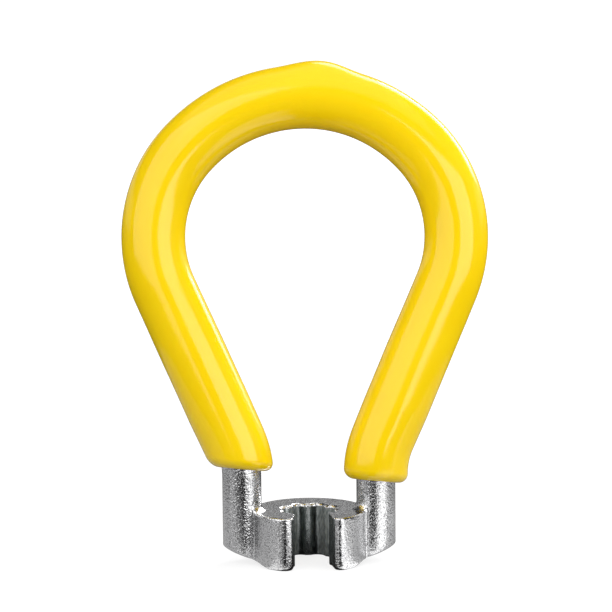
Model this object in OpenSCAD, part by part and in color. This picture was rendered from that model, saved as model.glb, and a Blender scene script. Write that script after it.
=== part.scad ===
// Loop-handled spoke wrench: a slotted, splined socket ring brazed between the ends of a bent
// steel rod, with a dip-coated plastic grip over the rod.
// The socket's axis is Z, the head's bottom face is z = 0 and the slot opens towards -Y.

/* [Socket head] */
// Outside diameter of the ring
head_d = 11.6; // [10.8:0.1:12.8]
// Height of the ring along the socket
head_h = 5.3; // [4:0.1:8]
// Rounding of the ring's outer rims
head_rim_r = 0.3; // [0.1:0.05:0.6]
// Size of the nipple across its splines
nipple_d = 5.65; // [5.2:0.05:6]
// Radial clearance between the nipple and the bottom of a flute
nipple_gap = 0.125; // [0.05:0.005:0.2]
// Depth of a flute, which is the height of a tooth
flute_depth = 0.4; // [0.3:0.01:0.55]
// Number of flutes round the full circle
flute_count = 8; // [7:1:10]
// Share of the circle that the tooth crests take
crest_share = 0.25; // [0.2:0.01:0.5]
// Chamfer of the tooth crests at the socket's upper rim
lead_in = 0.2; // [0.1:0.05:0.3]
// Width of the slot that lets the spoke in
slot_w = 3.8; // [2.5:0.1:4.2]
// Rounding of the slot's two front corners
slot_corner_r = 0.95; // [0.2:0.05:1.2]

/* [Rod] */
// Diameter of the bent rod
rod_d = 3.9; // [3:0.1:4.4]
// How deep each end of the rod beds into the side of the ring
seat_depth = 1.05; // [0.6:0.05:1.3]
// Height of the rod's lower bends over the ring, to the corner of their centreline
post_h = 5.35; // [4.5:0.05:9]
// Centreline radius of the two lower bends
post_bend_r = 8.4; // [5:0.1:9]
// Lean of the loop away from the slot, so that the spoke clears it
lean = 10; // [6:0.5:25]
// Spread of each leg from the loop's middle line
leg_angle = 23.7; // [15:0.1:35]
// Centreline radius of the loop's sides
side_r = 13; // [10:0.1:15]
// Centreline radius of the loop's crown
crown_r = 15.95; // [15.2:0.05:20]
// Half of the angle that the crown takes
crown_angle = 46.8; // [30:0.1:60]
// Rise of the bevel under the outer edge of each rod end
bevel_h = 1.75; // [0.8:0.05:2]
// Slope of that bevel
bevel_angle = 21.6; // [18:0.1:40]

/* [Braze] */
// Thickness of the braze film between the rod and its seat
braze_gap = 0.05; // [0.03:0.01:0.1]
// Radius of the braze fillet above each seat
braze_fillet_r = 0.8; // [0.3:0.05:0.9]
// Radius of the braze fillets in the creases beside each seat
crease_r = 0.15; // [0.1:0.05:0.9]

/* [Grip] */
// Thickness of the dip coating
coat_t = 1.25; // [0.8:0.05:1.6]
// How far the coating runs past the corners of the lower bends, on the middle line
coat_reach = 1.85; // [1.4:0.05:3]
// Tilt of the line that the coating was dipped to
dip_tilt = 6; // [0:0.1:8]
// Rounding of the coating's two ends
coat_edge_r = 1; // [0.4:0.05:1]
// Height of the drip left on the crown
drip_h = 0.5; // [0.2:0.05:0.8]
// Length of the drip along the crown
drip_len = 7.6; // [4:0.1:9]
// Rounding of the drip across the crown
drip_side_r = 2.4; // [2:0.05:2.6]

/* [Hidden] */
$fn = 96;

// Overrun of every cut
over = 1;
// Swell of the round section in a bend
bend_swell = 0.02;
// How far a straight stretch or the crown runs on inside a swollen bend
bend_lap = 0.3;

// Socket
head_r = head_d / 2;
root_r = nipple_d / 2 + nipple_gap;
crest_r = root_r - flute_depth;
flute_pitch = 360 / flute_count;
flute_half = flute_pitch * (1 - crest_share) / 2;
flute_mouth = crest_r * sin(flute_half);
flute_sag = root_r - crest_r * cos(flute_half);
flute_r = (flute_mouth * flute_mouth + flute_sag * flute_sag) / (2 * flute_sag);
lead_r = crest_r + lead_in;

// Centre of a slot corner's rounding, on the right
slot_corner_x = slot_w / 2 + slot_corner_r;
slot_corner_y = -sqrt(pow(head_r - slot_corner_r, 2) - pow(slot_corner_x, 2));

// Rod ends
rod_r = rod_d / 2;
seat_r = rod_r + braze_gap;
post_x = head_r + rod_r - seat_depth;
corner_z = head_h + post_h;
bevel_x = post_x + rod_r - bevel_h / tan(bevel_angle);

// Lower bends: from the upright post to the leg, which spreads and leans at once
post_bend_angle = acos(cos(leg_angle) * cos(lean));
post_bend_turn = atan2(cos(leg_angle) * sin(lean), sin(leg_angle));
post_bend_reach = post_bend_r * tan(post_bend_angle / 2);

// Loop, in its own plane, from the corners of the lower bends: x to the right, y up
side_x = (crown_r - side_r) * sin(crown_angle);
leg_len = (side_x + side_r * cos(leg_angle) - post_x) / sin(leg_angle);
side_y = leg_len * cos(leg_angle) + side_r * sin(leg_angle);
crown_y = side_y - (crown_r - side_r) * cos(crown_angle);
crown_lap_angle = asin(bend_lap / crown_r);

// Coating
coat_r = rod_r + coat_t;
dip_dir = [sin(dip_tilt), cos(dip_tilt) * sin(lean), cos(dip_tilt) * cos(lean)];
dip_z = corner_z - coat_reach / cos(lean);
dip_half = post_x + 2 * coat_r + over;
crown_out_r = crown_r + coat_r;
drip_half = drip_len / 2;
drip_rise = drip_h + crown_out_r - sqrt(pow(crown_out_r, 2) - pow(drip_half, 2));
drip_r = (drip_half * drip_half + drip_rise * drip_rise) / (2 * drip_rise);
drip_sink_share = 1.1;
drip_angle = asin(drip_half / drip_r) * drip_sink_share;

// Braze: the reach of the fillet above, and the centre of a crease's fillet, which touches the
// ring and the rod
fillet_rod = rod_r + braze_fillet_r;
crease_ring = head_r + crease_r;
crease_rod = rod_r + crease_r;
crease_x = (crease_ring * crease_ring - crease_rod * crease_rod + post_x * post_x) / (2 * post_x);
crease_y = sqrt(crease_ring * crease_ring - crease_x * crease_x);

// The loop's plane, hinged back about the line through the two lower corners
module in_loop_plane() {
    translate([0, 0, corner_z]) rotate([90 - lean, 0, 0]) children();
}

module both_sides() {
    children();
    mirror([1, 0, 0]) children();
}

// A bent rod of radius r that starts at the origin, heads up and turns towards +X
module upward_bend(bend_r, angle, r) {
    translate([bend_r, 0, 0]) rotate([90, 0, 0]) rotate([0, 0, 180 - angle])
        rotate_extrude(angle = angle) translate([bend_r, 0]) circle(r);
}

// An arc of rod about the Z axis, from one angle to another
module flat_arc(arc_r, from, to, r) {
    rotate([0, 0, from]) rotate_extrude(angle = to - from) translate([arc_r, 0]) circle(r);
}

// The right-hand half of the handle's line, up to the crown
module half_run(r) {
    translate([post_x, 0, 0]) cylinder(h = corner_z - post_bend_reach + bend_lap, r = r);
    translate([post_x, 0, corner_z - post_bend_reach]) rotate([0, 0, post_bend_turn])
        upward_bend(post_bend_r, post_bend_angle, r + bend_swell);
    in_loop_plane() {
        translate([post_x, 0, 0]) rotate([0, 0, -leg_angle]) rotate([-90, 0, 0])
            translate([0, 0, post_bend_reach - bend_lap])
                cylinder(h = leg_len - post_bend_reach + 2 * bend_lap, r = r);
        translate([side_x, side_y, 0])
            flat_arc(side_r, -leg_angle, 90 - crown_angle, r + bend_swell);
    }
}

// The whole handle's line as a round bar of radius r
module run(r) {
    both_sides() half_run(r);
    crown_reach = crown_angle + crown_lap_angle;
    in_loop_plane() translate([0, crown_y, 0])
        flat_arc(crown_r, 90 - crown_reach, 90 + crown_reach, r);
}

// Wedges cut off under both rod ends, which rise outwards from the ring's flat bottom
module foot_bevels() {
    both_sides() translate([bevel_x, 0, 0]) rotate([0, -bevel_angle, 0])
        translate([0, -head_r, -head_h]) cube([head_d, head_d, head_h]);
}

// Ring blank with rounded rims
module ring_blank() {
    rotate_extrude() {
        square([head_r - head_rim_r, head_h]);
        translate([0, head_rim_r]) square([head_r, head_h - 2 * head_rim_r]);
        for (z = [head_rim_r, head_h - head_rim_r])
            translate([head_r - head_rim_r, z]) circle(head_rim_r);
    }
}

// Splined hole: a tooth stands at the back, opposite the slot
module socket_outline() {
    circle(crest_r);
    for (i = [0 : flute_count - 1])
        rotate(90 + (i + 1 / 2) * flute_pitch) translate([root_r - flute_r, 0]) circle(flute_r);
}

// Slot from the socket to the front, with its outer corners rounded
module slot_outline() {
    translate([-slot_w / 2, -head_r - over]) square([slot_w, head_r + over]);
    for (side = [-1, 1]) scale([side, 1]) slot_corner();
}

module slot_corner() {
    reach = (head_r + over) / (head_r - slot_corner_r);
    difference() {
        polygon([
            [0, slot_corner_y],
            [slot_corner_x, slot_corner_y],
            [slot_corner_x * reach, slot_corner_y * reach],
            [0, -head_r - over]
        ]);
        translate([slot_corner_x, slot_corner_y]) circle(slot_corner_r);
    }
}

module socket_head() {
    color("silver") difference() {
        ring_blank();
        translate([0, 0, -over]) linear_extrude(head_h + 2 * over) socket_outline();
        translate([0, 0, -over]) linear_extrude(head_h + 2 * over) slot_outline();
        translate([0, 0, head_h - lead_in]) cylinder(h = lead_in + over, r1 = crest_r, r2 = lead_r + over);
        both_sides() translate([post_x, 0, -over]) cylinder(h = head_h + 2 * over, r = seat_r);
        foot_bevels();
    }
}

module loop_rod() {
    color("silver") difference() {
        run(rod_r);
        foot_bevels();
    }
}

// Filled corner between the ring's side and the rod, seen from above
module crease_outline() {
    difference() {
        polygon([[0, 0], [post_x, 0], [crease_x, crease_y]]);
        circle(head_r);
        translate([post_x, 0]) circle(rod_r);
        translate([crease_x, crease_y]) circle(crease_r);
    }
}

// Braze round the right-hand rod end: film in the seat, fillets down both creases and on top
module braze() {
    difference() {
        union() {
            intersection() {
                translate([post_x, 0, 0]) cylinder(h = head_h, r = seat_r);
                cylinder(h = head_h, r = head_r);
            }
            for (side = [-1, 1])
                translate([0, 0, head_rim_r]) linear_extrude(head_h - 2 * head_rim_r)
                    scale([1, side]) crease_outline();
            intersection() {
                translate([post_x, 0, head_h]) rotate_extrude() difference() {
                    square([fillet_rod, braze_fillet_r]);
                    translate([fillet_rod, braze_fillet_r]) circle(braze_fillet_r);
                }
                cylinder(h = head_h + braze_fillet_r, r = head_r - head_rim_r);
            }
        }
        translate([post_x, 0, -over]) cylinder(h = corner_z, r = rod_r);
        foot_bevels();
    }
}

module braze_left() {
    color("silver") mirror([1, 0, 0]) braze();
}

module braze_right() {
    color("silver") braze();
}

// Everything below the dip line, which is square to the loop's plane
module below_dip() {
    in_loop_plane() translate([0, -coat_reach, 0]) rotate([0, 0, -dip_tilt])
        translate([-dip_half, -corner_z, -dip_half]) cube([2 * dip_half, corner_z, 2 * dip_half]);
}

// Ring that rounds the coating's end on one post: side is -1 on the left and 1 on the right.
// Its axis meets the rod's at the top of the rounding, which may lie in the bend.
module coat_edge(side) {
    post_drop = (coat_reach + side * post_x * tan(dip_tilt)) / cos(lean);
    bend_run = max(0, post_bend_reach - post_drop + coat_edge_r);
    edge_bend = asin(bend_run / post_bend_r);
    edge_shift = post_bend_r * (1 - cos(edge_bend));
    rod_dir = [
        side * sin(edge_bend) * cos(post_bend_turn),
        sin(edge_bend) * sin(post_bend_turn),
        cos(edge_bend)
    ];
    mouth_r = coat_r / (rod_dir * dip_dir);
    edge_x = side * (post_x + edge_shift * cos(post_bend_turn)) - coat_edge_r * dip_dir[0];
    edge_y = edge_shift * sin(post_bend_turn) - coat_edge_r * dip_dir[1];
    edge_z = dip_z - (edge_x * dip_dir[0] + edge_y * dip_dir[1]) / dip_dir[2];
    translate([edge_x, edge_y, edge_z]) rotate([90 - lean, 0, 0])
        rotate([0, 0, -dip_tilt]) rotate([-90, 0, 0]) rotate_extrude() difference() {
            translate([mouth_r - coat_edge_r, -over])
                square([coat_edge_r + over, coat_edge_r + over]);
            translate([mouth_r - coat_edge_r, coat_edge_r]) circle(coat_edge_r);
        }
}

// Drip that ran to the lowest point of the loop while it hung from its head
module drip() {
    in_loop_plane() translate([0, crown_y, 0]) rotate([0, 0, -dip_tilt])
        translate([0, crown_out_r + drip_h - drip_r, 0])
            flat_arc(drip_r - drip_side_r, 90 - drip_angle, 90 + drip_angle, drip_side_r);
}

module dip_grip() {
    color("gold") difference() {
        union() {
            run(coat_r);
            drip();
        }
        run(rod_r);
        below_dip();
        for (side = [-1, 1]) coat_edge(side);
    }
}

socket_head();
loop_rod();
braze_left();
braze_right();
dip_grip();
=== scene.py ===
"""Loop-handled spoke wrench: the visual model and its studio.

Sizes are in millimetres, as in the part's source, and become metres when a mesh is made. What is in
metres, such as the lamps, says so.
"""
import math

import bmesh
import bpy
import numpy as np
from mathutils import Matrix, Vector, noise
from mathutils.geometry import delaunay_2d_cdt


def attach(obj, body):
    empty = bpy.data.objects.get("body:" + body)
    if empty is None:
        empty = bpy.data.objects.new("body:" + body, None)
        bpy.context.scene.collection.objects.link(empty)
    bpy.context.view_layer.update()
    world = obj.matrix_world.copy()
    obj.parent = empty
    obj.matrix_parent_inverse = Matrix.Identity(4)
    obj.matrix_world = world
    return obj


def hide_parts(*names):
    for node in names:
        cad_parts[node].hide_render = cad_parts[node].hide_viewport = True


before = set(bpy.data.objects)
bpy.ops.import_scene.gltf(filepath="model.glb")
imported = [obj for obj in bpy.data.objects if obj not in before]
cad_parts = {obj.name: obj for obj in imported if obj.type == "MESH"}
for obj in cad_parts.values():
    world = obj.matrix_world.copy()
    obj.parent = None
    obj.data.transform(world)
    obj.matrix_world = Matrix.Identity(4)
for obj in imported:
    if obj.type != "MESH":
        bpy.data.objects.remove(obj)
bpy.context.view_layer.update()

MM = 0.001

# Sizes shared with the part's source
HEAD_R = 5.8
HEAD_H = 5.3
RIM_R = 0.3
ROOT_R = 2.95
FLUTE_DEPTH = 0.4
FLUTE_COUNT = 8
CREST_SHARE = 0.25
ROD_R = 1.95
SEAT_DEPTH = 1.05
POST_H = 5.35
POST_BEND_R = 8.4
LEAN = math.radians(10)
LEG_ANGLE = math.radians(23.7)
SIDE_R = 13.0
CROWN_R = 15.95
CROWN_ANGLE = math.radians(46.8)
BEVEL_H = 1.75
BEVEL_SLOPE = math.tan(math.radians(21.6))
BRAZE_GAP = 0.05
FILLET_R = 0.8
CREASE_R = 0.15
COAT_T = 1.25
COAT_REACH = 1.85
DIP_TILT = math.radians(6)
COAT_EDGE_R = 1.0
DRIP_H = 0.5

CREST_R = ROOT_R - FLUTE_DEPTH
SEAT_R = ROD_R + BRAZE_GAP
POST_X = HEAD_R + ROD_R - SEAT_DEPTH
CORNER_Z = HEAD_H + POST_H
COAT_R = ROD_R + COAT_T
BEVEL_X = POST_X + ROD_R - BEVEL_H / BEVEL_SLOPE
BEND_ANGLE = math.acos(math.cos(LEG_ANGLE) * math.cos(LEAN))
BEND_TURN = math.atan2(math.cos(LEG_ANGLE) * math.sin(LEAN), math.sin(LEG_ANGLE))
BEND_REACH = POST_BEND_R * math.tan(BEND_ANGLE / 2)
SIDE_X = (CROWN_R - SIDE_R) * math.sin(CROWN_ANGLE)
LEG_LEN = (SIDE_X + SIDE_R * math.cos(LEG_ANGLE) - POST_X) / math.sin(LEG_ANGLE)
SIDE_Y = LEG_LEN * math.cos(LEG_ANGLE) + SIDE_R * math.sin(LEG_ANGLE)
CROWN_Y = SIDE_Y - (CROWN_R - SIDE_R) * math.cos(CROWN_ANGLE)
DIP_DIR = np.array([
    math.sin(DIP_TILT),
    math.cos(DIP_TILT) * math.sin(LEAN),
    math.cos(DIP_TILT) * math.cos(LEAN),
])
DIP_POINT = np.array([0, 0, CORNER_Z - COAT_REACH / math.cos(LEAN)])

UP = np.array([0, 0, 1.0])


def unit(vector):
    return vector / np.linalg.norm(vector)


def quarter_turn(steps):
    """Angles of a rounded edge, from 0 to 90 degrees."""
    return np.linspace(0, math.pi / 2, steps + 1)


# The handle's line

LINE_STEP = 0.1


def in_loop_plane(u, v):
    """A point of the leaning loop: u to the right, v up from the lower corners."""
    return np.array([u, v * math.sin(LEAN), CORNER_Z + v * math.cos(LEAN)])


def half_line():
    """Points from the right foot up to the middle of the crown."""
    points = []
    bend_z = CORNER_Z - BEND_REACH
    bend_out = np.array([math.cos(BEND_TURN), math.sin(BEND_TURN), 0])
    side_turn = LEG_ANGLE + math.pi / 2 - CROWN_ANGLE

    def add(length, at):
        count = max(2, round(length / LINE_STEP))
        points.extend(at(i / count) for i in range(count))

    def post(t):
        return np.array([POST_X, 0, t * bend_z])

    def bend(t):
        a = t * BEND_ANGLE
        return post(1) + POST_BEND_R * (math.sin(a) * UP + (1 - math.cos(a)) * bend_out)

    def leg(t):
        s = BEND_REACH + t * (LEG_LEN - BEND_REACH)
        return in_loop_plane(POST_X + s * math.sin(LEG_ANGLE), s * math.cos(LEG_ANGLE))

    def side(t):
        a = t * side_turn - LEG_ANGLE
        return in_loop_plane(SIDE_X + SIDE_R * math.cos(a), SIDE_Y + SIDE_R * math.sin(a))

    def crown(t):
        a = math.pi / 2 - CROWN_ANGLE * (1 - t)
        return in_loop_plane(CROWN_R * math.cos(a), CROWN_Y + CROWN_R * math.sin(a))

    add(bend_z, post)
    add(POST_BEND_R * BEND_ANGLE, bend)
    add(LEG_LEN - BEND_REACH, leg)
    add(SIDE_R * side_turn, side)
    add(CROWN_R * CROWN_ANGLE, crown)
    points.append(crown(1))
    return np.array(points)


class Line:
    """The rod's centreline from the left foot over the crown to the right foot."""

    def __init__(self):
        right = half_line()
        left = right * np.array([-1, 1, 1])
        self.points = np.vstack([left, right[::-1][1:]])
        steps = np.linalg.norm(np.diff(self.points, axis=0), axis=1)
        self.s = np.concatenate([[0], np.cumsum(steps)])
        tangents = np.gradient(self.points, self.s, axis=0)
        self.tangents = tangents / np.linalg.norm(tangents, axis=1)[:, None]
        self.length = self.s[-1]

    def at(self, s):
        """Points, front directions and outward directions at the distances s."""
        s = np.asarray(s)
        place = np.stack([np.interp(s, self.s, self.points[:, i]) for i in range(3)], -1)
        along = np.stack([np.interp(s, self.s, self.tangents[:, i]) for i in range(3)], -1)
        along /= np.linalg.norm(along, axis=-1)[..., None]
        normal = np.array([0, -math.cos(LEAN), math.sin(LEAN)])
        front = normal - (along @ normal)[..., None] * along
        front /= np.linalg.norm(front, axis=-1)[..., None]
        return place, front, np.cross(front, along)

    def surface(self, s, r, phi):
        """Points at radius r and angle phi round the line: 0 is the front, 90 degrees is outward."""
        place, front, out = self.at(s)
        r = np.asarray(r)[..., None]
        return place + r * (np.cos(phi)[..., None] * front + np.sin(phi)[..., None] * out)


line = Line()


# Mesh helpers

SHARP_ANGLE = math.radians(40)
RING_SHARP_ANGLE = math.radians(35)


def link_object(name, mesh, material, sharp=SHARP_ANGLE):
    mesh.materials.append(material)
    mesh.shade_smooth()
    mesh.set_sharp_from_angle(angle=sharp)
    obj = bpy.data.objects.new(name, mesh)
    bpy.context.scene.collection.objects.link(obj)
    return obj


def new_object(name, verts, faces, material):
    """An object from vertices in mm, with its faces turned outward."""
    mesh = bpy.data.meshes.new(name)
    mesh.from_pydata([tuple(c * MM for c in v) for v in verts], [], faces)
    bm = bmesh.new()
    bm.from_mesh(mesh)
    bmesh.ops.recalc_face_normals(bm, faces=bm.faces)
    bm.to_mesh(mesh)
    bm.free()
    return link_object(name, mesh, material)


def ring_faces(first, second, count):
    """Faces between two rings, which begin at the vertices first and second."""
    return [
        (first + j, first + (j + 1) % count, second + (j + 1) % count, second + j)
        for j in range(count)
    ]


def capped_tube(rings, count):
    """Faces of a tube through rings of count points each, closed at both ends."""
    faces = []
    for i in range(rings - 1):
        faces += ring_faces(i * count, (i + 1) * count, count)
    last = (rings - 1) * count
    return faces + [tuple(range(count)), tuple(range(last + count - 1, last - 1, -1))]


def even_normals(obj):
    obj.modifiers.new("even_normals", "WEIGHTED_NORMAL").keep_sharp = True


def lifted(point):
    """Raises a point of the head or the rod onto the bevel under the rod's end."""
    x, y, z = point
    lift = max(0.0, (abs(x) - BEVEL_X) * BEVEL_SLOPE)
    if z < HEAD_H:
        z = lift + z * (1 - lift / HEAD_H)
    return (x, y, z)


def place_piece(obj, node):
    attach(obj, "root")
    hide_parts(node)


# Materials

class Shader:
    """A material's nodes. From add on, each method adds a node and gives back its output."""

    def __init__(self, name):
        self.material = bpy.data.materials.new(name)
        self.material.use_nodes = True
        self.nodes = self.material.node_tree.nodes
        self.links = self.material.node_tree.links
        self.surface = self.nodes["Principled BSDF"]

    def fill(self, node, inputs):
        """Sets a node's inputs, by name or place, to constants or to other nodes' outputs."""
        for key, value in inputs.items():
            if isinstance(value, bpy.types.NodeSocket):
                self.links.new(value, node.inputs[key])
            else:
                node.inputs[key].default_value = value

    def dress(self, inputs):
        """Sets the inputs of the surface and gives back the material."""
        self.fill(self.surface, inputs)
        return self.material

    def add(self, kind, inputs, output=0, **settings):
        node = self.nodes.new(kind)
        for name, value in settings.items():
            setattr(node, name, value)
        self.fill(node, inputs)
        return node.outputs[output]

    def place(self):
        return self.add("ShaderNodeTexCoord", {}, "Object")

    def scaled(self, place, scale):
        return self.add("ShaderNodeMapping", {"Vector": place, "Scale": scale}, "Vector")

    def length(self, place):
        return self.add("ShaderNodeVectorMath", {0: place}, "Value", operation="LENGTH")

    def maths(self, operation, *sources):
        return self.add("ShaderNodeMath", dict(enumerate(sources)), operation=operation)

    def noise(self, place, scale, detail=2.0, roughness=0.5):
        inputs = {"Vector": place, "Scale": scale, "Detail": detail, "Roughness": roughness}
        return self.add("ShaderNodeTexNoise", inputs, "Fac")

    def ranged(self, source, span, to=(0, 1)):
        """Maps the span of a source to another one, without passing its ends."""
        inputs = {"From Min": span[0], "From Max": span[1], "To Min": to[0], "To Max": to[1]}
        return self.add("ShaderNodeMapRange", {"Value": source, **inputs}, "Result")

    def ramp(self, source, stops):
        """A colour between stops, each a position and a colour."""
        node = self.nodes.new("ShaderNodeValToRGB")
        elements = node.color_ramp.elements
        while len(elements) < len(stops):
            elements.new(0.5)
        for element, (position, colour) in zip(elements, stops):
            element.position = position
            element.color = (*colour, 1)
        self.fill(node, {"Fac": source})
        return node.outputs["Color"]

    def bump(self, height, distance, strength, under=None):
        """Relief with its distance in mm, over the relief that lies under it."""
        inputs = {"Height": height, "Distance": distance * MM, "Strength": strength}
        if under is not None:
            inputs["Normal"] = under
        return self.add("ShaderNodeBump", inputs, "Normal")


def plated_metal():
    """Bright plating over a fine blasted grain: the grain scatters the reflections."""
    shader = Shader("plated_steel")
    place = shader.place()
    grain = shader.noise(place, scale=4600, roughness=0.55)
    pores = shader.noise(place, scale=8000, detail=1.0)
    cloud = shader.noise(place, scale=700)
    relief = shader.bump(grain, distance=0.1, strength=0.55)
    return shader.dress({
        "Metallic": 1.0,
        "Base Color": shader.ramp(pores, [
            (0.3, (0.3, 0.3, 0.305)),
            (0.4, (0.66, 0.66, 0.67)),
            (0.62, (0.78, 0.78, 0.785)),
        ]),
        "Roughness": shader.ranged(cloud, (0.35, 0.65), (0.1, 0.16)),
        "Normal": shader.bump(cloud, distance=0.12, strength=0.2, under=relief),
    })


# Where the bore has painted shade: by the distance from the socket's axis, aside from it and along Y
BORE_SHADE_DEEP = (2.58, 2.8)
BORE_SHADE_BACK = (0.85, 0.95)
BORE_SHADE_WALL = (-1.8, -1.2)
BORE_ASIDE = 2.0
# Distances aside, and how much the surface there is bare metal: the rest is a dull film
# The dip at 1 mm aside is a painted highlight: a pale matte line
BORE_BARE_AND_HIGHLIGHT = ((0.9, 1.0), (1.0, 0.45), (1.1, 0.66))
# Colour that the painted shade multiplies the bore's grey by
BORE_SHADE_COLOUR = (0.36, 0.375, 0.37, 1)


def bore_metal():
    """Thin, dull plating with faint lines along the socket.

    It has painted shade deep in each flute beside the back tooth and on the slot's walls, and a pale
    film on the flanks farther aside, which begins with a painted highlight: a pale matte line."""
    shader = Shader("bore_plating_and_painted_shade")
    place = shader.place()
    axes = shader.nodes.new("ShaderNodeSeparateXYZ")
    shader.fill(axes, {0: place})

    def ranged_mm(source, span, to=(0, 1)):
        return shader.ranged(source, [c * MM for c in span], to)

    aside = shader.maths("ABSOLUTE", axes.outputs["X"])
    # The metallic share dips 1 mm aside, where the matte film paints a pale highlight line
    bare = shader.ramp(ranged_mm(aside, (0, BORE_ASIDE)), [
        (x / BORE_ASIDE, (share, share, share)) for x, share in BORE_BARE_AND_HIGHLIGHT])
    from_axis = shader.length(shader.scaled(place, (1, 1, 0)))
    # Painted shade: darker deep in each flute beside the back tooth and on the slot's walls
    flute_shade = shader.maths(
        "MULTIPLY", ranged_mm(from_axis, BORE_SHADE_DEEP), ranged_mm(aside, BORE_SHADE_BACK, (1, 0)))
    dark = shader.maths("MAXIMUM", flute_shade, ranged_mm(axes.outputs["Y"], BORE_SHADE_WALL, (1, 0)))
    grain = shader.noise(shader.scaled(place, (1, 1, 0.35)), scale=5200, detail=1.5)
    colour = shader.ramp(grain, [
        (0.35, (0.3, 0.33, 0.325)),
        (0.65, (0.58, 0.61, 0.605)),
    ])
    # A mix node's colours are its inputs 6 and 7 and its output 2
    shaded = shader.add("ShaderNodeMix", {0: dark, 6: colour, 7: BORE_SHADE_COLOUR}, 2,
                        data_type="RGBA", blend_type="MULTIPLY")
    return shader.dress({
        "Metallic": bare,
        "Base Color": shaded,
        "Roughness": shader.ranged(grain, (0.35, 0.65), (0.16, 0.24)),
        "Normal": shader.bump(grain, distance=0.04, strength=0.3),
    })


def dipped_plastic():
    """Glossy dip coating: an even colour with a faint cloud, fine specks and a little waviness."""
    shader = Shader("yellow_coating")
    place = shader.place()
    cloud = shader.noise(place, scale=120, detail=3.0)
    wave = shader.noise(place, scale=330, detail=1.0)
    dots = {"Vector": place, "Scale": 650, "Randomness": 1.0}
    specks = shader.add("ShaderNodeTexVoronoi", dots, "Distance")
    relief = shader.bump(wave, distance=0.06, strength=0.35)
    speck_height = shader.ranged(specks, (0.03, 0.09), (1, 0))
    return shader.dress({
        "Base Color": shader.ramp(cloud, [
            (0.3, (0.955, 0.645, 0.002)),
            (0.7, (0.985, 0.68, 0.003)),
        ]),
        "Roughness": shader.ranged(cloud, (0.3, 0.7), (0.1, 0.17)),
        "IOR": 1.48,
        "Subsurface Weight": 0.12,
        "Subsurface Radius": [reach * MM for reach in (0.8, 0.5, 0.1)],
        "Subsurface Scale": 0.5,
        "Normal": shader.bump(speck_height, distance=0.01, strength=0.5, under=relief),
    })


metal = plated_metal()
bore = bore_metal()
coating = dipped_plastic()


# Dip-coated grip

GRIP_ROUND = 128
PHI = np.linspace(0, 2 * math.pi, GRIP_ROUND, endpoint=False)
GRIP_GAP = 0.01
GRIP_INNER_R = ROD_R + GRIP_GAP
# Distances from a foot between which the coating's lower edge lies
DIP_WINDOW = np.linspace(6, 18, 241)
# The lip beside the rod, as steps out from it and heights over the dip line
LIP = ((0, 0.12), (0.06, 0.03))
# Height over the dip line at which the inside begins
INSIDE_START = 0.3
EDGE_STEPS = 12
# From its slanted edges the outside turns square to the line over this length
BLEND_LEN = 5.0
BLEND_STEPS = 14
LOOP_RINGS = 380
INSIDE_RINGS = 220
# Reach of the drip to the left and right of the crown's top, and its turn to the front and back
DRIP_LEFT, DRIP_RIGHT = 4.9, 4.3
DRIP_TURN = math.radians(56)
# Swell of the legs: its height, and its rise and fall by the distance from a foot
SWELL_H = 0.07
SWELL_FROM, SWELL_RISE = 12, 4
SWELL_TO, SWELL_FALL = 32, 10
# Waviness of the outside: its length, its height and how far it lies below the plain coating
WAVE_LEN, WAVE_H, WAVE_DROP = 5.5, 0.025, 0.015


def grip_ring(s, r):
    return line.surface(s, np.full(GRIP_ROUND, r), PHI)


def dip_cut(side, r, d):
    """Distances along the line, for every PHI, where a tube of radius r is d over the dip line."""
    s = DIP_WINDOW if side < 0 else line.length - DIP_WINDOW
    tube = line.surface(s[:, None], np.full((len(s), 1), r), PHI[None, :])
    heights = (tube - DIP_POINT) @ DIP_DIR
    found = np.array([np.interp(d, heights[:, j], DIP_WINDOW) for j in range(GRIP_ROUND)])
    return found if side < 0 else line.length - found


def hump(offset, reach):
    """A smooth hump, 1 in its middle and 0 from its reach on."""
    return np.where(np.abs(offset) < reach, np.cos(np.pi / 2 * offset / reach) ** 2, 0)


def drip_swell(s):
    """Height of the drip at distances s along the line, for every PHI."""
    crown_top = line.length / 2 + CROWN_R * DIP_TILT
    along = (s - crown_top) * (CROWN_R + COAT_R) / CROWN_R
    reach = np.where(along < 0, DRIP_LEFT, DRIP_RIGHT)
    return DRIP_H * hump(along, reach) * hump(PHI - math.pi / 2, DRIP_TURN)


def leg_swell(s):
    """The coating is a little fuller on the legs than on the loop's widest part."""
    low = np.minimum(s, line.length - s)
    rise = np.clip((low - SWELL_FROM) / SWELL_RISE, 0, 1)
    fall = np.clip((SWELL_TO - low) / SWELL_FALL, 0, 1)
    return SWELL_H * rise * fall


def waviness(points):
    return np.array([noise.noise(Vector(p / WAVE_LEN)) for p in points]) * WAVE_H - WAVE_DROP


def end_rings(side):
    """Rings from the rod's surface round the coating's lower edge, on one post."""
    section = [(GRIP_INNER_R + step, d) for step, d in LIP]
    for a in quarter_turn(EDGE_STEPS):
        r = COAT_R - COAT_EDGE_R * (1 - math.sin(a))
        section.append((r, COAT_EDGE_R * (1 - math.cos(a))))
    return [grip_ring(dip_cut(side, r, d), r) for r, d in section]


def outer_rings():
    """Rings of the coating's outside between the two rounded edges."""
    left, right = (dip_cut(side, COAT_R, COAT_EDGE_R) for side in (-1, 1))
    low, high = left.max() + BLEND_LEN, right.min() - BLEND_LEN
    shares = [k / BLEND_STEPS for k in range(1, BLEND_STEPS)]
    stations = [left + (low - left) * t for t in shares]
    stations += [np.full(GRIP_ROUND, s) for s in np.linspace(low, high, LOOP_RINGS)]
    stations += [high + (right - high) * t for t in shares]
    rings = []
    for s in stations:
        fade = np.clip(np.minimum(s - left, right - s) / BLEND_LEN, 0, 1)
        swell = drip_swell(s) + leg_swell(s) + fade * waviness(grip_ring(s, COAT_R))
        rings.append(line.surface(s, COAT_R + swell, PHI))
    return rings


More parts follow.
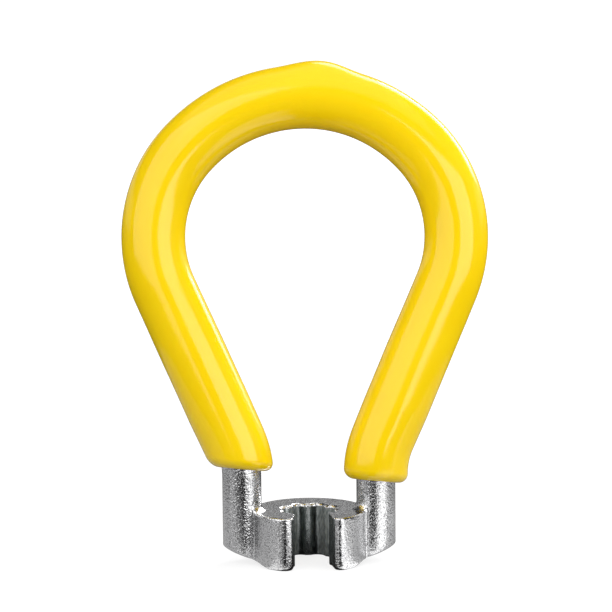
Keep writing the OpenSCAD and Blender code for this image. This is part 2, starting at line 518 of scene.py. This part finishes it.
def inner_rings():
    """Rings of the coating's inside, against the rod, from the right end to the left."""
    left, right = (dip_cut(side, GRIP_INNER_R, INSIDE_START) for side in (-1, 1))
    return [
        grip_ring(right + (left - right) * t, GRIP_INNER_R)
        for t in np.linspace(0, 1, INSIDE_RINGS)
    ]


def make_grip():
    rings = end_rings(-1) + outer_rings() + end_rings(1)[::-1] + inner_rings()
    faces = []
    for i in range(len(rings)):
        faces += ring_faces(i * GRIP_ROUND, (i + 1) % len(rings) * GRIP_ROUND, GRIP_ROUND)
    obj = new_object("grip_coating", np.vstack(rings), faces, coating)
    place_piece(obj, "dip_grip")


# Bent rod

ROD_ROUND = 96
ROD_FOOT_R = 0.22
FOOT_STEPS = 6
# Distances from a foot: those of the rings on a post, and where the wider spaced ones begin
POST_STATIONS = np.linspace(0.5, 11.5, 45)
CORE_START = 12
CORE_RINGS = 240


def make_rod():
    phi = np.linspace(0, 2 * math.pi, ROD_ROUND, endpoint=False)
    post = [(ROD_R - ROD_FOOT_R * (1 - math.sin(a)), ROD_FOOT_R * (1 - math.cos(a)))
            for a in quarter_turn(FOOT_STEPS)]
    post += [(ROD_R, s) for s in POST_STATIONS]
    core = [(ROD_R, s) for s in np.linspace(CORE_START, line.length - CORE_START, CORE_RINGS)]
    stations = post + core + [(r, line.length - s) for r, s in reversed(post)]
    verts = []
    for r, s in stations:
        ring = line.surface(np.full(ROD_ROUND, s), np.full(ROD_ROUND, r), phi)
        verts += [lifted(p) for p in ring]
    obj = new_object("bent_rod", verts, capped_tube(len(stations), ROD_ROUND), metal)
    even_normals(obj)
    place_piece(obj, "loop_rod")


# Socket head

# Distances of the slot's walls from the middle, where the corners begin, and the corners' rounding
SLOT_LEFT, SLOT_RIGHT = 1.8, 2.2
CORNER_LEFT_R, CORNER_RIGHT_R = 0.8, 0.67
# Turn of each wall, which makes the slot wider towards its mouth
SLOT_FLARE = math.radians(7)
# What lies farther forward than JAW_Y is drawn in, so that the jaws end at the solid's reach
JAW_Y, FRONT_REACH = 2.2, 4.87

# Rounding of the ring's lower and upper edges, by the part of the outline
EDGE_UNDER = {"slot": 0.34, "wall": 0.34, "rim": 0.26, "seat": 0.0, "socket": 0.14}
EDGE_OVER = {"slot": 0.16, "wall": 0.16, "rim": 0.22, "seat": 0.0, "socket": 0.3}
# The rounding fades out towards the seats and the socket, to this share of the distance
EDGE_SHARE = 0.4

# Lengths of the outline's steps, and numbers of steps
CORNER_STEP, RIM_STEP, SEAT_STEP = 0.07, 0.12, 0.15
SOCKET_STEPS, SLOT_STEPS, SEARCH_STEPS = 420, 15, 4000
UNDER_STEPS, WALL_STEPS, OVER_STEPS = 7, 11, 9

# Settings of the mesh tools: only triangles inside the outline are kept, and points nearer than
# these distances, in mm and in metres, count as one
INSIDE_ONLY = 1
CLOSE_MM = 1e-7
CLOSE_M = 1e-8


def arc(centre, r, start, end, step):
    """Points of an arc, without its last one. Angles are in radians and the step in mm."""
    count = max(2, math.ceil(abs(end - start) * r / step))
    return [
        (centre[0] + r * math.cos(start + (end - start) * i / count),
         centre[1] + r * math.sin(start + (end - start) * i / count))
        for i in range(count)
    ]


def socket_radius(angle):
    """Radius of the splined hole at an angle: the crest circle, or a flute where one lies."""
    pitch = 2 * math.pi / FLUTE_COUNT
    half = pitch * (1 - CREST_SHARE) / 2
    mouth = CREST_R * math.sin(half)
    sag = ROOT_R - CREST_R * math.cos(half)
    flute_r = (mouth * mouth + sag * sag) / (2 * sag)
    centre_r = ROOT_R - flute_r
    off = (angle - math.pi / 2) % pitch - pitch / 2
    reach = flute_r * flute_r - (centre_r * math.sin(off)) ** 2
    if abs(off) > half or reach < 0:
        return CREST_R
    return max(CREST_R, centre_r * math.cos(off) + math.sqrt(reach))


def half_outline(wall_x, corner_r):
    """Outside of the ring's right half, from the slot's corner to the back.

    Each entry is a point and the kind of outline that it lies on."""
    corner_x = wall_x + corner_r * math.cos(SLOT_FLARE)
    corner_y = -math.sqrt((HEAD_R - corner_r) ** 2 - corner_x ** 2)
    corner_end = math.atan2(corner_y, corner_x)
    seat_x = (HEAD_R ** 2 - SEAT_R ** 2 + POST_X ** 2) / (2 * POST_X)
    seat_a = math.acos(seat_x / HEAD_R)
    seat_turn = math.atan2(HEAD_R * math.sin(seat_a), HEAD_R * math.cos(seat_a) - POST_X)
    arcs = (
        ("slot", (corner_x, corner_y), corner_r, SLOT_FLARE - math.pi, corner_end, CORNER_STEP),
        ("rim", (0, 0), HEAD_R, corner_end, -seat_a, RIM_STEP),
        ("seat", (POST_X, 0), SEAT_R, 2 * math.pi - seat_turn, seat_turn, SEAT_STEP),
        ("rim", (0, 0), HEAD_R, seat_a, math.pi / 2, RIM_STEP),
    )
    points = [(p, kind) for kind, *sizes in arcs for p in arc(*sizes)]
    squeeze = (FRONT_REACH - JAW_Y) / (-min(p[1] for p, _ in points) - JAW_Y)
    return [((x, min(0, y + JAW_Y) * squeeze + max(-JAW_Y, y)), kind) for (x, y), kind in points]


def slot_start(mouth):
    """Angle at which the splined hole meets the slot's right wall, which ends at its mouth."""
    for angle in np.linspace(-math.pi / 2, 0, SEARCH_STEPS + 1):
        r = socket_radius(angle)
        wall_x = mouth[0] - (r * math.sin(angle) - mouth[1]) * math.tan(SLOT_FLARE)
        if r * math.cos(angle) >= wall_x:
            return float(angle)


def slot_wall(start, end):
    """Points between the ends of a wall of the slot."""
    return [(tuple(p), "wall") for p in np.linspace(start, end, SLOT_STEPS + 1)[1:-1]]


def head_outline():
    """The ring's whole outline: round the outside, in by the slot and round the socket."""
    right = half_outline(SLOT_RIGHT, CORNER_RIGHT_R)
    left = half_outline(SLOT_LEFT, CORNER_LEFT_R)
    start, end = slot_start(right[0][0]), math.pi - slot_start(left[0][0])
    left = [((-x, y), kind) for (x, y), kind in left]
    socket = []
    for angle in np.linspace(start, end, SOCKET_STEPS + 1):
        r = socket_radius(angle)
        socket.append(((r * math.cos(angle), r * math.sin(angle)), "socket"))
    wall_right = slot_wall(socket[0][0], right[0][0])
    wall_left = slot_wall(socket[-1][0], left[0][0])
    back = [((0.0, HEAD_R), "rim")]
    return right + back + left[::-1] + wall_left[::-1] + socket[::-1] + wall_right


def head_layers(flat, kinds):
    """The outline's points and heights, layer by layer up the ring and round both its edges."""
    socket = np.array([kind == "socket" for kind in kinds])
    seat = np.array([kind == "seat" for kind in kinds])
    along = np.roll(flat, -1, axis=0) - np.roll(flat, 1, axis=0)
    along /= np.linalg.norm(along, axis=1)[:, None]
    out = np.stack([along[:, 1], -along[:, 0]], 1)
    turns = flat[(seat != np.roll(seat, 1)) | (socket != np.roll(socket, 1))]
    clear = np.min([np.linalg.norm(flat - turn, axis=1) for turn in turns], axis=0)
    from_axis = np.linalg.norm(flat, axis=1)

    def edge_radii(edge):
        faded = np.minimum([edge[kind] for kind in kinds], EDGE_SHARE * clear)
        return np.where(socket, edge["socket"], faded)

    def drawn_in(inset):
        """The outline drawn in by an inset for each point, with the socket opened by it."""
        opened = flat * (1 + inset / from_axis)[:, None]
        return np.where(socket[:, None], opened, flat - out * inset[:, None])

    under, over = edge_radii(EDGE_UNDER), edge_radii(EDGE_OVER)
    layers = [(drawn_in(under * (1 - math.sin(a))), under * (1 - math.cos(a)))
              for a in quarter_turn(UNDER_STEPS)]
    low, high = under, HEAD_H - over
    layers += [(flat, low + (high - low) * t) for t in np.linspace(0, 1, WALL_STEPS + 1)[1:]]
    layers += [(drawn_in(over * (1 - math.cos(a))), HEAD_H - over * (1 - math.sin(a)))
               for a in quarter_turn(OVER_STEPS)[1:]]
    return layers


def close_outline(bm, row):
    """Fills a flat, concave loop of vertices with triangles."""
    count = len(row)
    flat = [Vector((v.co.x, v.co.y)) / MM for v in row]
    rim = [(j, (j + 1) % count) for j in range(count)]
    _, _, triangles, origin, _, _ = delaunay_2d_cdt(flat, rim, [], INSIDE_ONLY, CLOSE_MM)
    for triangle in triangles:
        bm.faces.new([row[origin[i][0]] for i in triangle])


def make_head():
    outline = head_outline()
    count = len(outline)
    kinds = [kind for _, kind in outline]
    inner = [kind in ("socket", "wall") for kind in kinds]
    bm = bmesh.new()
    rows = [
        [bm.verts.new((x * MM, y * MM, z * MM)) for (x, y), z in zip(ring, heights)]
        for ring, heights in head_layers(np.array([p for p, _ in outline]), kinds)
    ]
    for i, (low, high) in enumerate(zip(rows, rows[1:])):
        straight = UNDER_STEPS <= i < UNDER_STEPS + WALL_STEPS
        for j in range(count):
            k = (j + 1) % count
            face = bm.faces.new((low[j], low[k], high[k], high[j]))
            face.material_index = int(straight and inner[j] and inner[k])
    for row in (rows[0], rows[-1]):
        close_outline(bm, row)
    for side in (-1, 1):
        bmesh.ops.bisect_plane(
            bm, geom=bm.verts[:] + bm.edges[:] + bm.faces[:], dist=CLOSE_M,
            plane_co=(side * BEVEL_X * MM, 0, 0), plane_no=(1, 0, 0))
    for v in bm.verts:
        v.co = Vector(lifted(v.co / MM)) * MM
    bmesh.ops.recalc_face_normals(bm, faces=bm.faces)
    mesh = bpy.data.meshes.new("splined_ring")
    bm.to_mesh(mesh)
    bm.free()
    obj = link_object("splined_ring", mesh, metal, RING_SHARP_ANGLE)
    mesh.materials.append(bore)
    even_normals(obj)
    place_piece(obj, "socket_head")


# Braze fillets

FILLET_FOOT = 0.02
CREASE_POINTS, OVER_RIM_STEPS, ROUND_POST_POINTS = 14, 13, 16
FACE_STEPS = 10
# How far a fillet's edges are sunk into the ring and the post, and the least cosine that the reach
# of its hidden corner is worked out with
FILLET_SUNK = 0.04
CORNER_COS = 0.3


def fillet_path():
    """A ball that rolls along the corner between the ring and the right post.

    Each entry is the ball's centre, the ring's normal under it and its radius, from the front
    crease's foot over the ring's rim, round the post on the ring's top and down the crease at the
    back. The ball is small in the creases and grows on its way over the rim."""

    def centre(rho, z, r):
        reach = ROD_R + r
        x = (rho * rho - reach * reach + POST_X * POST_X) / (2 * POST_X)
        return np.array([x, -math.sqrt(max(0, rho * rho - x * x)), z])

    def radial(point):
        return unit(np.array([point[0], point[1], 0]))

    path = []
    for z in np.linspace(FILLET_FOOT, HEAD_H - RIM_R, CREASE_POINTS):
        c = centre(HEAD_R + CREASE_R, z, CREASE_R)
        path.append((c, radial(c), CREASE_R))
    for a in quarter_turn(OVER_RIM_STEPS)[1:]:
        r = CREASE_R + (FILLET_R - CREASE_R) * math.sin(a) ** 2
        rho = HEAD_R - RIM_R + (r + RIM_R) * math.cos(a)
        c = centre(rho, HEAD_H - RIM_R + (r + RIM_R) * math.sin(a), r)
        path.append((c, math.cos(a) * radial(c) + math.sin(a) * UP, r))
    last = path[-1][0]
    swing = math.atan2(last[1], last[0] - POST_X)
    reach = ROD_R + FILLET_R
    for a in np.linspace(swing + 2 * math.pi, math.pi, ROUND_POST_POINTS)[1:]:
        c = np.array([POST_X + reach * math.cos(a), reach * math.sin(a), last[2]])
        path.append((c, UP, FILLET_R))
    mirror = np.array([1, -1, 1])
    return path + [(c * mirror, n * mirror, r) for c, n, r in path[-2::-1]]


def fillet_section(centre, normal, r):
    """Points of the fillet's concave face, from the ring to the post, and three behind it."""
    to_ring = -normal
    to_post = unit(np.array([POST_X - centre[0], -centre[1], 0]))
    across = unit(to_post - (to_post @ to_ring) * to_ring)
    sweep = math.acos(max(-1, min(1, float(to_ring @ to_post))))

    def turned(a):
        return math.cos(a) * to_ring + math.sin(a) * across

    face = [centre + r * turned(sweep * i / FACE_STEPS) for i in range(FACE_STEPS + 1)]
    corner = centre + r / max(CORNER_COS, math.cos(sweep / 2)) * turned(sweep / 2)
    return face + [face[-1] + FILLET_SUNK * to_post, corner, face[0] + FILLET_SUNK * to_ring]


def make_braze(side, name, node):
    sections = [fillet_section(*ball) for ball in fillet_path()]
    turn = np.array([side, 1, 1])
    verts = [lifted(p * turn) for section in sections for p in section]
    obj = new_object(name, verts, capped_tube(len(sections), len(sections[0])), metal)
    place_piece(obj, node)


make_grip()
make_rod()
make_head()
make_braze(-1, "braze_fillet_left", "braze_left")
make_braze(1, "braze_fillet_right", "braze_right")


# Studio

# The floor, its round backdrop and the distances over which the floor's glow changes, in metres
FLOOR_REACH = 4.0
BACKDROP_R, BACKDROP_H, BACKDROP_SIDES = 3.6, 0.9, 64
GLOW_SPAN = (0.06, 0.4)

# Reach of the cards on the floor, from the socket's axis to the room's wall, and heights on that wall
CARD_LIFT = 0.02
AXIS_REACH = 0.01
SIDE_REACH, MID_REACH, WHITE_REACH, NEAR_REACH = 19, 32, 42, 60
PATCH_REACH = 26
ROOM_R = 520
FOOT_H, LOW_H, ROOM_H = 50, 170, 700
FLOOR_CARD_STEPS, WALL_CARD_STEPS = 12, 24

# Cards on the floor in front: name, corners, lift, shade
FLOOR_PATCHES = (
    ("front_card", ((-4, -HEAD_R), (-16, -NEAR_REACH), (9, -NEAR_REACH), (8, -HEAD_R)),
     CARD_LIFT, 0.01),
    ("left_front_card",
     ((-4, -HEAD_R), (-6, -HEAD_R), (-48, -37), (-48, -NEAR_REACH), (-16, -NEAR_REACH)),
     CARD_LIFT, 0.05),
    ("left_near_card",
     ((-4.6, -HEAD_R), (-6, -HEAD_R), (-PATCH_REACH, -21), (-PATCH_REACH, -PATCH_REACH),
      (-6.5, -PATCH_REACH)),
     2 * CARD_LIFT, 0.2),
    ("right_near_card",
     ((4.6, -HEAD_R), (8.2, -HEAD_R), (8.4, -PATCH_REACH), (5.2, -PATCH_REACH)),
     2 * CARD_LIFT, 1.0),
)

# Cards on the floor round the socket's axis: name, first and last azimuth, near and far reach, shade
FLOOR_SECTORS = (
    ("right_card_a", 61, 68, HEAD_R, SIDE_REACH, 0.72),
    ("right_card_b", 68, 80, HEAD_R, SIDE_REACH, 0.55),
    ("right_card_c", 80, 95, HEAD_R, SIDE_REACH, 0.44),
    ("right_card_d", 95, 140, HEAD_R, SIDE_REACH, 0.36),
    ("right_mid_card", 66, 105, SIDE_REACH, MID_REACH, 0.8),
    ("right_turn_card", 105, 140, SIDE_REACH, MID_REACH, 0.5),
    ("right_far_card", 66, 85, MID_REACH, NEAR_REACH, 0.55),
    ("right_end_card", 85, 140, MID_REACH, NEAR_REACH, 0.4),
    ("side_card", 215, 308, HEAD_R, NEAR_REACH, 0.48),
    ("behind_card", 140, 215, HEAD_R, NEAR_REACH, 0.1),
    # The dark card under the ring is painted shade: it stands in, in reflections, for the ring's
    # shadow on the floor
    ("under_ring_shadow_card", 0, 360, AXIS_REACH, HEAD_R, 0.02),
    ("white_card", 34, 61, HEAD_R, WHITE_REACH, 1.55),
    ("far_card", 0, 360, NEAR_REACH, ROOM_R, 0.04),
)

# Cards at the room's wall: name, first and last azimuth, foot, top, shade
WALL_CARDS = (
    ("back_card", 95, 265, FOOT_H, LOW_H, 0.57),
    ("low_back_card", 95, 265, 0, FOOT_H, 0.12),
    ("front_wall_card", -95, 95, 0, LOW_H, 0.05),
    ("room_card", 0, 360, LOW_H, ROOM_H, 0.05),
)

# The upright card before the slot
SLOT_CARD_W, SLOT_CARD_H, SLOT_CARD_Y = 2.6, 4.2, 8.0
SLOT_CARD_SHADE = 0.6

# What the lamps are aimed at, in metres
TOOL_CENTRE = np.array([0, 0.0026, 0.026])
WORLD_STRENGTH = 0.28

# The camera: its target in mm, its angles in degrees, its distance and clipping in metres, and its
# focal length in pixels of a frame of FRAME_PX
CAMERA_TARGET = (-0.016, 2.6, 25.439)
CAMERA_AZIMUTH, CAMERA_ELEVATION, CAMERA_ROLL = -2.69, 9.168, -0.482
CAMERA_DISTANCE = 0.45
FRAME_PX, FOCAL_PX = 612, 4507.2
SENSOR_MM = 36
CLIP_NEAR, CLIP_FAR = 0.01, 20


def direction(azimuth, elevation):
    """A direction from the tool, in degrees: azimuth 0 is the camera's side, 90 is the right."""
    a, e = math.radians(azimuth), math.radians(elevation)
    return np.array([math.sin(a) * math.cos(e), -math.cos(a) * math.cos(e), math.sin(e)])


def axes_matrix(x, y, z, place):
    return Matrix((*zip(x, y, z, place), (0, 0, 0, 1)))


def pale_material(name, shade, glow):
    """A pale surface that takes shadows and glows for the camera and in reflections.

    The glow goes from its first value to its second with the distance from the tool, because the
    lamps light the surface less there."""
    shader = Shader(name)
    shader.nodes.remove(shader.surface)
    rays = shader.nodes.new("ShaderNodeLightPath").outputs
    seen = shader.maths("MAXIMUM", rays["Is Camera Ray"], rays["Is Glossy Ray"])
    seen = shader.maths("MAXIMUM", seen, rays["Is Transmission Ray"])
    strength = shader.maths(
        "MULTIPLY", seen, shader.ranged(shader.length(shader.place()), GLOW_SPAN, glow))
    diffuse = shader.add("ShaderNodeBsdfDiffuse", {"Color": (shade, shade, shade, 1)})
    light = shader.add("ShaderNodeEmission", {"Strength": strength})
    both = shader.add("ShaderNodeAddShader", {0: diffuse, 1: light})
    shader.fill(shader.nodes["Material Output"], {"Surface": both})
    return shader.material


def stage_mesh(name, verts, faces, material):
    mesh = bpy.data.meshes.new(name)
    mesh.from_pydata(verts, [], faces)
    mesh.materials.append(material)
    obj = bpy.data.objects.new(name, mesh)
    bpy.context.scene.collection.objects.link(obj)
    return obj


def make_floor():
    paper = pale_material("pale_floor", shade=0.26, glow=(0.78, 1.0))
    corners = [(x * FLOOR_REACH, y * FLOOR_REACH, 0) for x, y in ((-1, -1), (1, -1), (1, 1), (-1, 1))]
    stage_mesh("floor", corners, [(0, 1, 2, 3)], paper)
    wall = pale_material("pale_wall", shade=0.36, glow=(1.0, 1.0))
    turns = [2 * math.pi * i / BACKDROP_SIDES for i in range(BACKDROP_SIDES)]
    verts = [(BACKDROP_R * math.cos(a), BACKDROP_R * math.sin(a), z)
             for z in (0, BACKDROP_H) for a in turns]
    stage_mesh("backdrop", verts, ring_faces(0, BACKDROP_SIDES, BACKDROP_SIDES), wall)


def make_card(name, verts, faces, shade):
    """A studio card that shows only in the tool's reflections. Its corners are in mm."""
    material = Shader(name).dress({
        "Base Color": (0, 0, 0, 1),
        "Roughness": 1,
        "Specular IOR Level": 0,
        "Emission Color": (1, 1, 1, 1),
        "Emission Strength": shade,
    })
    card = stage_mesh(name, [(x * MM, y * MM, z * MM) for x, y, z in verts], faces, material)
    card.visible_camera = False
    card.visible_diffuse = False
    card.visible_shadow = False


def arc_card(name, start, end, steps, edges, shade):
    """A card between two arcs round the socket's axis, each with a radius and a height."""
    angles = [math.radians(a) for a in np.linspace(start, end, steps + 1)]
    verts = [(r * math.sin(a), -r * math.cos(a), z) for r, z in edges for a in angles]
    faces = [(i, i + 1, steps + i + 2, steps + i + 1) for i in range(steps)]
    make_card(name, verts, faces, shade)


def make_cards():
    """White, grey and dark cards, which give the metal its bands and keep the coating's edges deep."""
    for name, corners, lift, shade in FLOOR_PATCHES:
        make_card(name, [(x, y, lift) for x, y in corners], [tuple(range(len(corners)))], shade)
    for name, start, end, near, far, shade in FLOOR_SECTORS:
        edges = ((near, CARD_LIFT), (far, CARD_LIFT))
        arc_card(name, start, end, FLOOR_CARD_STEPS, edges, shade)
    for name, start, end, low, high, shade in WALL_CARDS:
        arc_card(name, start, end, WALL_CARD_STEPS, ((ROOM_R, low), (ROOM_R, high)), shade)
    half, y = SLOT_CARD_W / 2, -SLOT_CARD_Y
    corners = [(-half, y, 0), (half, y, 0), (half, y, SLOT_CARD_H), (-half, y, SLOT_CARD_H)]
    make_card("slot_card", corners, [(0, 1, 2, 3)], SLOT_CARD_SHADE)


def make_lamp(name, size, radiance):
    """A rectangular lamp that the camera doesn't see."""
    data = bpy.data.lights.new(name, "AREA")
    data.shape = "RECTANGLE"
    data.size, data.size_y = size
    data.energy = radiance * math.pi * size[0] * size[1]
    lamp = bpy.data.objects.new(name, data)
    bpy.context.scene.collection.objects.link(lamp)
    lamp.visible_camera = False
    return lamp


def softbox(name, azimuth, elevation, distance, size, radiance):
    """A lamp aimed at the tool from a direction. Its distance and size are in metres."""
    lamp = make_lamp(name, size, radiance)
    away = direction(azimuth, elevation)
    lamp.location = Vector(TOOL_CENTRE + distance * away)
    lamp.rotation_euler = Vector(-away).to_track_quat("-Z", "Y").to_euler()
    return lamp


def strip_light(name, start, end, distance, width, radiance):
    """A long lamp between two directions, each an azimuth and an elevation, sized in metres."""
    ends = [TOOL_CENTRE + distance * direction(*turn) for turn in (start, end)]
    along = ends[1] - ends[0]
    place = (ends[0] + ends[1]) / 2
    z = unit(place - TOOL_CENTRE)
    x = unit(along - (along @ z) * z)
    lamp = make_lamp(name, (np.linalg.norm(along), width), radiance)
    lamp.matrix_world = axes_matrix(x, np.cross(z, x), z, place)


def make_lamps():
    softbox("key_right", azimuth=38, elevation=12, distance=0.34, size=(0.3, 0.2), radiance=2.9)
    softbox("fill_left", azimuth=-46, elevation=28, distance=0.34, size=(0.48, 0.39), radiance=1.62)
    side = softbox(
        "side_right", azimuth=92, elevation=24, distance=0.4, size=(0.5, 0.45), radiance=1.5)
    side.visible_glossy = False
    softbox("top", azimuth=10, elevation=82, distance=0.42, size=(0.7, 0.6), radiance=0.4)
    strip_light(
        "rim_soft", start=(127, 12), end=(172, 52), distance=0.42, width=0.13, radiance=4.5)
    strip_light("rim", start=(134, 13), end=(158, 33), distance=0.41, width=0.045, radiance=10)


def make_world():
    world = bpy.data.worlds.new("studio")
    world.use_nodes = True
    background = world.node_tree.nodes["Background"]
    background.inputs["Color"].default_value = (1, 1, 1, 1)
    background.inputs["Strength"].default_value = WORLD_STRENGTH
    bpy.context.scene.world = world


def make_camera():
    azimuth, roll = math.radians(CAMERA_AZIMUTH), math.radians(CAMERA_ROLL)
    away = direction(CAMERA_AZIMUTH, CAMERA_ELEVATION)
    right = np.array([math.cos(azimuth), math.sin(azimuth), 0])
    up = np.cross(right, -away)
    level = math.cos(roll) * right + math.sin(roll) * up
    top = math.cos(roll) * up - math.sin(roll) * right
    data = bpy.data.cameras.new("camera")
    data.sensor_width = SENSOR_MM
    data.sensor_fit = "HORIZONTAL"
    data.lens = FOCAL_PX / FRAME_PX * SENSOR_MM
    data.clip_start = CLIP_NEAR
    data.clip_end = CLIP_FAR
    obj = bpy.data.objects.new("camera", data)
    bpy.context.scene.collection.objects.link(obj)
    place = np.array(CAMERA_TARGET) * MM + away * CAMERA_DISTANCE
    obj.matrix_world = axes_matrix(level, top, away, place)
    bpy.context.scene.camera = obj


make_floor()
make_world()
make_camera()
make_cards()
make_lamps()
bpy.context.scene.view_settings.view_transform = "Standard"
